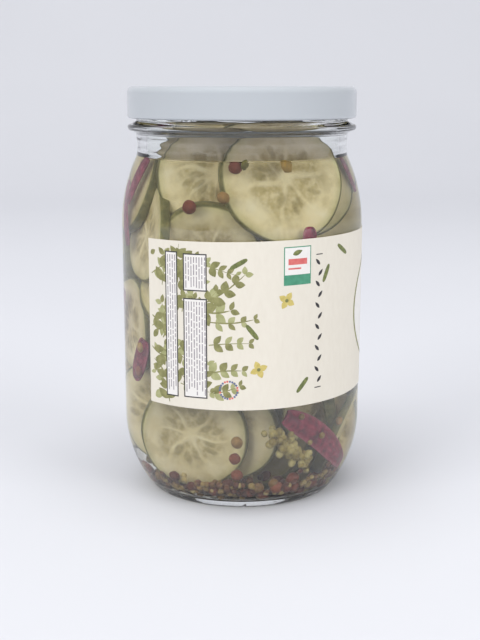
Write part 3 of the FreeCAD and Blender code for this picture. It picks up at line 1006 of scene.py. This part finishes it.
def slice_shapes(middle, face, radius, thick, around, across, own):
    """Cucumber slices and their masks. Outline = radius times a few low waves; the edge is
    rounded by 0.8 mm; seed hollows and veins are relief on both faces; each slice is bent
    a little about a line across it."""
    count = len(middle)
    rows, turn = slice_rows(around, across, 4)
    share, side, rim = (rows[None, :, i, None] for i in range(3))
    turn = turn[None, None]
    radius, thick = radius[:, None, None], thick[:, None, None]
    phase = own.uniform(0, 2 * math.pi, (6, count, 1, 1))
    outline = radius * (1 + 0.014 * np.cos(3 * turn + phase[0]) + 0.012 * np.cos(2 * turn + phase[1])
                        + 0.006 * np.cos(7 * turn + phase[2]))
    level = np.sin(np.radians(rim))
    reach = outline - EDGE_R * (1 - np.cos(np.radians(rim)))
    flat = np.abs(rim) >= 90
    dist = np.where(flat, share * (outline - EDGE_R), reach)
    height = np.where(flat, side * thick / 2, side * (thick / 2 - EDGE_R) + EDGE_R * level)

    part = dist / outline
    jelly, vein, seed = slice_pattern(part, turn, phase, own)
    skin = smoothstep(outline - 0.62, outline - 0.30, dist) * np.ones_like(part)
    under = smoothstep(outline - 3.4, outline - 0.4, dist) * np.ones_like(part)

    wave = 0.10 * np.sin(5 * turn + phase[0]) * part
    relief = -0.18 * jelly + 0.26 * seed + 0.10 * vein + wave * (part < 0.9)
    relief -= 0.2 * smoothstep(0.45, 0.0, part)
    height = height + side * relief
    bend = own.uniform(0.3, 1.1, (count, 1, 1))
    x = dist * np.cos(turn)
    y = dist * np.sin(turn)
    fold = x * np.cos(phase[1]) + y * np.sin(phase[1])
    height = height - bend * ((fold / radius) ** 2 - 0.3)

    level_way, up_way = side_vectors(face)
    place = (middle[:, None, None] + x[..., None] * level_way[:, None, None]
             + y[..., None] * up_way[:, None, None] + height[..., None] * face[:, None, None])
    # painted shade: slices near the axis get a low tint, which the material turns dark; the random part
    # is each slice's own tone
    painted_light_by_depth = smoothstep(7.0, 17.0, np.hypot(middle[:, 0], middle[:, 1]))[:, None, None]
    tint = painted_light_by_depth * (0.65 + 0.35 * own.random((count, 1, 1))) * np.ones_like(part)
    # mask for the painted lid shade on slice parts above the brine
    out = smoothstep(BRINE_TOP - 1.5, BRINE_TOP + 1.0, place[..., 2])
    return place, {"skin": skin, "under_skin": under, "jelly": jelly, "vein": vein, "seed": seed,
                   "tint": tint, "out": out}


def make_slices():
    """All cucumber slices as one piece: fine ones where they show most, plainer ones behind."""
    middle, face, radius, thick, pinned = slice_frames()
    middle, face = settle(middle, face, radius, thick, pinned)
    own = np.random.default_rng(5)
    points, faces, masks, shift = [], [], [], 0
    for chosen, around, across in ((slice(0, FINE), 104, 25), (slice(FINE, None), 54, 11)):
        place, mask = slice_shapes(middle[chosen], face[chosen], radius[chosen], thick[chosen],
                                   around, across, own)
        faces.append([f + shift for f in round_faces(place.shape[0], place.shape[1] - 2, around)])
        points.append(round_points(place))
        masks.append({key: round_points(value[..., None]) for key, value in mask.items()})
        shift += len(points[-1])
    merged = [np.concatenate([faces[0][i], faces[1][i]]) for i in range(2)]
    piece = add_piece("cucumber_slices", np.concatenate(points), merged, cucumber_finish(),
                      smooth=60.0)
    for key in masks[0]:
        give(piece, key, np.concatenate([m[key] for m in masks]))
    return piece


# ---------------------------------------------------------------- onion


def ribbon(knots, width, thick, cup, long=26, wide=9):
    """Bent, cupped ribbons. Middle line = quadratic curve through three knots; the width runs
    level across it; the profile arches by cup (1 - v^2); width tapers as sin(pi t)^0.22."""
    t = np.linspace(0.02, 0.98, long)[None, :, None]
    v = np.linspace(-1, 1, wide)[None, None, :, None]
    a, b, c = knots[:, :1], knots[:, 1:2], knots[:, 2:]
    line = (1 - t) ** 2 * a + 2 * t * (1 - t) * b + t ** 2 * c
    along = 2 * (1 - t) * (b - a) + 2 * t * (c - b)
    along /= np.linalg.norm(along, axis=2, keepdims=True)
    outward = line * [1, 1, 0]
    outward /= np.linalg.norm(outward, axis=2, keepdims=True)
    across = np.cross(along, outward)
    across /= np.linalg.norm(across, axis=2, keepdims=True)
    normal = np.cross(across, along)
    half = width[:, None, None] / 2 * np.sin(math.pi * t) ** 0.22
    sheet = (line[:, :, None] + across[:, :, None] * half[..., None] * v
             + normal[:, :, None] * (cup[:, None, None, None] * (1 - v ** 2)))
    back = sheet - normal[:, :, None] * thick * (1 - 0.5 * v ** 2)
    return sheet, back


def near_wall(aim, z, inset):
    """Point inside the glass: at angle aim degrees and height z, inset mm from the wall."""
    turn = np.radians(aim)
    radius = room_radius(z) - inset
    return np.stack([radius * np.sin(turn), -radius * np.cos(turn), z * np.ones_like(radius)], -1)


def make_onion():
    """Red onion strips: one broad strip low at the front right, smaller ones by the wall."""
    shown = np.array([
        # angle, height, inset of three knots, then width
        [21, 31, 2.2, 42, 25, 1.2, 70, 10, 2.2, 8.0],
        [34, 83, 2.2, 35, 86, 2.2, 36, 88.5, 3.0, 4.6],
        [-66, 107.5, 2.4, -71, 102, 1.8, -76, 93, 1.8, 4.5],
        [-84, 100, 1.8, -80, 90, 1.6, -74, 80, 2.0, 5.0],
        [76, 107, 3.4, 78, 103, 3.2, 82, 96, 3.0, 2.6],
        [-58, 52, 3.0, -62, 44, 2.5, -70, 38, 3.0, 7.0],
        [-85, 66, 2.5, -95, 56, 2.0, -100, 44, 3.0, 6.0],
        [140, 100, 3, 150, 92, 2.5, 165, 88, 3, 6.0],
        [190, 30, 3, 205, 24, 2.5, 222, 20, 4, 7.0],
        [-140, 98, 3, -128, 94, 2.5, -118, 98, 3, 5.0],
        [110, 22, 3, 124, 16, 3.0, 138, 14, 4, 7.0],
        [-110, 24, 3, -122, 18, 3.0, -136, 16, 4, 6.0],
    ], float)
    knots = near_wall(shown[:, 0:9:3], shown[:, 1:9:3], shown[:, 2:9:3])
    front, back = ribbon(knots, shown[:, 9], 1.2, np.full(len(shown), 0.8))
    piece = add_slabs("onion_strips", front, back, onion_finish(), smooth=50.0)
    long, wide = front.shape[1:3]
    v = np.abs(np.linspace(-1, 1, wide))[None, None, None] * np.ones((len(shown), 2, long, 1))
    give(piece, "edge", smoothstep(0.7, 1.0, v))
    give(piece, "vein", 0.5 + 0.5 * np.cos(v * 11))
    return piece


# ---------------------------------------------------------------- spices


def ball_rows(middle, radius, squash, wrinkle, own, rings=9, around=14):
    """Seeds: spheres with radius r (1 + wrinkle waves), squashed along their own axis and
    turned by chance."""
    count = len(middle)
    polar = np.linspace(0, math.pi, rings)[None, :, None]
    turn = np.linspace(0, 2 * math.pi, around, endpoint=False)[None, None]
    phase = own.uniform(0, 2 * math.pi, (3, count, 1, 1))
    size = radius[:, None, None] * (1 + wrinkle * np.sin(4 * turn + 5 * polar + phase[0])
                                    + wrinkle * np.sin(3 * turn - 4 * polar + phase[1]))
    local = np.stack([size * np.sin(polar) * np.cos(turn), size * np.sin(polar) * np.sin(turn),
                      size * squash[:, None, None] * np.cos(polar) * np.ones_like(turn)], 3)
    axis = own.normal(0, 1, (count, 3))
    axis /= np.linalg.norm(axis, axis=1, keepdims=True)
    level, up = side_vectors(axis)
    frames = np.stack([level, up, axis], 1)
    return middle[:, None, None] + np.einsum("kpai,kij->kpaj", local, frames)


def add_seeds(name, middle, radius, squash, wrinkle, material, seed, **shape):
    """One piece of many seeds, each with its own tint."""
    own = np.random.default_rng(seed)
    squash = np.full(len(middle), squash) * own.uniform(0.93, 1.07, len(middle))
    rows = ball_rows(middle, radius, squash, wrinkle, own, **shape)
    piece = add_rounds(name, rows, material)
    tint = own.random((len(middle), 1, 1, 1)) * np.ones(rows.shape[:3] + (1,))
    give(piece, "tint", round_points(tint))
    return piece


def floor_bed(count, radius, own, layers):
    """Seed places on the glass floor: spread over the disc, heaped a little at the heel."""
    aim = own.uniform(0, 2 * math.pi, count)
    out = 31.0 * np.sqrt(own.uniform(0.03, 1.0, count))
    z = floor_height(out + radius * 0.4) + radius + own.integers(0, layers, count) * 1.7 * radius
    return np.stack([out * np.sin(aim), -out * np.cos(aim), z], 1)


def by_wall(spots, radius, gap=0.35):
    """Seed places against the glass from (angle, height) rows."""
    spots = np.asarray(spots, float)
    return near_wall(spots[:, 0], spots[:, 1], radius + gap)


def loose_spots(count, own, low, high):
    """Chance places round the wall, away from the front, as (angle, height)."""
    return np.stack([own.uniform(80, 300, count), own.uniform(low, high, count)], 1)


def make_spices():
    """Peppercorns, coriander, mustard and dill seeds, herb bits and an amber flake: the shown ones
    in place, the rest by chance."""
    own = np.random.default_rng(77)
    pepper = spice_finish("peppercorn", (0.0, (0.12, 0.035, 0.024)), (0.5, (0.24, 0.065, 0.04)),
                          (1.0, (0.34, 0.11, 0.06)), wrinkle=0.16)
    spots = [(-26.7, 94.6), (-3.6, 106.0), (-3.6, 18.1), (-2.7, 12.6), (-40.1, 9.6), (-63, 41),
             (20, 7.5), (44, 7.0), (-16, 6.6), (4, 6.2), (31, 6.8), (-30, 7.0)]
    shown = by_wall(spots, 1.95)
    loose = by_wall(loose_spots(12, own, 12, 104), 2.0)
    bed = floor_bed(26, np.full(26, 1.9), own, 2)
    middle = np.concatenate([shown, loose, bed])
    add_seeds("peppercorns", middle, own.uniform(1.75, 2.15, len(middle)), 0.96, 0.03, pepper, 3)

    husk = spice_finish("coriander_seed", (0.0, (0.26, 0.15, 0.055)), (0.5, (0.42, 0.25, 0.09)),
                        (1.0, (0.56, 0.36, 0.15)), wrinkle=0.12)
    spots = [(-2.5, 23.4), (-24.3, 7.7), (-9.2, 97.6), (57.7, 25.4), (-60.5, 49.1), (9.0, 8.0)]
    middle = np.concatenate([by_wall(spots, 1.6), by_wall(loose_spots(8, own, 12, 104), 1.7),
                             floor_bed(30, np.full(30, 1.6), own, 2)])
    add_seeds("coriander_seeds", middle, own.uniform(1.4, 1.8, len(middle)), 1.08, 0.02, husk, 4)

    grain = spice_finish("mustard_seed", (0.0, (0.085, 0.035, 0.030)), (0.4, (0.17, 0.065, 0.045)),
                         (0.75, (0.34, 0.22, 0.08)), (1.0, (0.58, 0.46, 0.20)), wrinkle=0.05)
    pale = [(30.3, 30.3), (43.2, 22.8), (35.5, 21.5), (31.7, 12.4), (36.6, 7.9), (52, 12)]
    front = np.stack([own.uniform(-50, 60, 90), own.uniform(5.5, 9.5, 90)], 1)
    middle = np.concatenate([by_wall(pale, 1.1, 0.2), by_wall(front, 1.0),
                             by_wall(loose_spots(26, own, 9, 104), 1.0),
                             floor_bed(260, np.full(260, 0.95), own, 4)])
    add_seeds("mustard_seeds", middle, own.uniform(0.8, 1.2, len(middle)), 1.0, 0.01, grain, 5,
              rings=7, around=10)

    # one strand of a dill head: ochre seeds packed along a line
    dill = spice_finish("dill_seed", (0.0, (0.30, 0.23, 0.075)), (0.5, (0.46, 0.37, 0.13)),
                        (1.0, (0.66, 0.58, 0.27)), wrinkle=0.14)
    t = np.linspace(0, 1, 64)
    strand = np.stack([14.0 + 23.0 * t + own.normal(0, 1.5, 64),
                       26.0 - 11.5 * t + own.normal(0, 1.3, 64)], 1)
    middle = near_wall(strand[:, 0], strand[:, 1], own.uniform(1.6, 3.8, 64))
    add_seeds("dill_seeds", middle, own.uniform(0.95, 1.35, 64), 1.25, 0.03, dill, 15,
              rings=7, around=10)

    # bits of dill leaf and one amber flake that float at the brine's top
    herb = spice_finish("herb_bits", (0.0, (0.10, 0.10, 0.03)), (1.0, (0.30, 0.27, 0.08)),
                        wrinkle=0.10)
    middle = np.concatenate([by_wall([(1.6, 107.0)], 1.4), by_wall(loose_spots(8, own, 20, 104), 1.4)])
    add_seeds("herb_bits", middle, np.full(len(middle), 1.9), 0.45, 0.05, herb, 6)
    resin = spice_finish("amber_flake", (0.0, (0.42, 0.26, 0.06)), (1.0, (0.50, 0.33, 0.09)),
                         wrinkle=0.08)
    middle = by_wall([(24.8, 106.3)], 1.6)
    add_seeds("amber_flake", middle, np.full(1, 2.3), 0.6, 0.06, resin, 9)


# ---------------------------------------------------------------- stage, light and camera


def make_stage():
    """Pale sweep: a floor that curves up into a backdrop behind the jar."""
    run = joined(straight_run((-2.2, 0.0), (0.9, 0.0), 40), arc_run((0.9, 0.9), 0.9, -90, 0, 24),
                 straight_run((1.8, 0.9), (1.8, 3.2), 8))
    x = np.linspace(-2.6, 2.6, 21)
    grid = np.stack(np.broadcast_arrays(x[None], run[:, :1], run[:, 1:]), -1)
    index = np.arange(grid[..., 0].size).reshape(grid.shape[:2])
    quads = np.stack([index[:-1, :-1], index[:-1, 1:], index[1:, 1:], index[1:, :-1]], 2)
    mesh = bpy.data.meshes.new("studio_sweep")
    mesh.from_pydata(grid.reshape(-1, 3).tolist(), [], quads.reshape(-1, 4).tolist())
    mesh.shade_smooth()
    f = Finish("pale_sweep", Roughness=0.9, IOR=1.2)
    f.set("Base Color", f.ramp(f.noise(400, 2.0), (0.3, (0.695, 0.705, 0.745)),
                               (0.7, (0.71, 0.72, 0.76))))
    mesh.materials.append(f.material)
    sweep = bpy.data.objects.new("studio_sweep", mesh)
    bpy.context.scene.collection.objects.link(sweep)


def add_soft_light(name, place, aim, size, energy, colour=(1, 1, 1)):
    """Square soft light at place that faces aim."""
    lamp = bpy.data.lights.new(name, "AREA")
    lamp.size = size
    lamp.energy = energy
    lamp.color = colour
    light = bpy.data.objects.new(name, lamp)
    light.visible_glossy = False
    light.visible_transmission = False
    light.location = place
    way = np.array(aim, float) - np.array(place, float)
    light.rotation_euler = (math.atan2(math.hypot(way[0], way[1]), -way[2]), 0,
                            math.atan2(way[0], -way[1]) + math.pi)
    bpy.context.scene.collection.objects.link(light)


def make_light():
    """Even white room light with large soft lights above, in front and at both sides."""
    world = bpy.data.worlds.new("soft_room")
    world.use_nodes = True
    ground = world.node_tree.nodes["Background"]
    ground.inputs["Color"].default_value = (0.985, 0.985, 1.0, 1)
    ground.inputs["Strength"].default_value = 0.48
    bpy.context.scene.world = world
    add_soft_light("top_light", (-0.2, -0.3, 2.2), (0, 0, 0.06), 1.8, 29.0)
    add_soft_light("left_light", (-1.3, -1.15, 0.8), (0, 0, 0.06), 1.0, 14.5)
    add_soft_light("right_light", (1.35, -1.0, 0.7), (0, 0, 0.06), 0.9, 11.5)


def make_camera():
    """Camera a little above the lid's level, tipped down 12 degrees."""
    lens = bpy.data.cameras.new("camera")
    lens.lens = 61.875
    lens.sensor_width = 36.0
    camera = bpy.data.objects.new("camera", lens)
    camera.location = (-0.0006, -0.3568, 0.1299)
    camera.rotation_euler = (math.radians(78.0), 0, 0)
    bpy.context.scene.collection.objects.link(camera)
    bpy.context.scene.camera = camera
    bpy.context.scene.view_settings.view_transform = "Standard"
    bpy.context.scene.cycles.max_bounces = 24
    bpy.context.scene.cycles.transmission_bounces = 24
    bpy.context.scene.cycles.diffuse_bounces = 8


make_jar()
make_brine()
make_lid()
make_label()
make_print()
make_slices()
make_onion()
make_spices()
make_stage()
make_light()
make_camera()
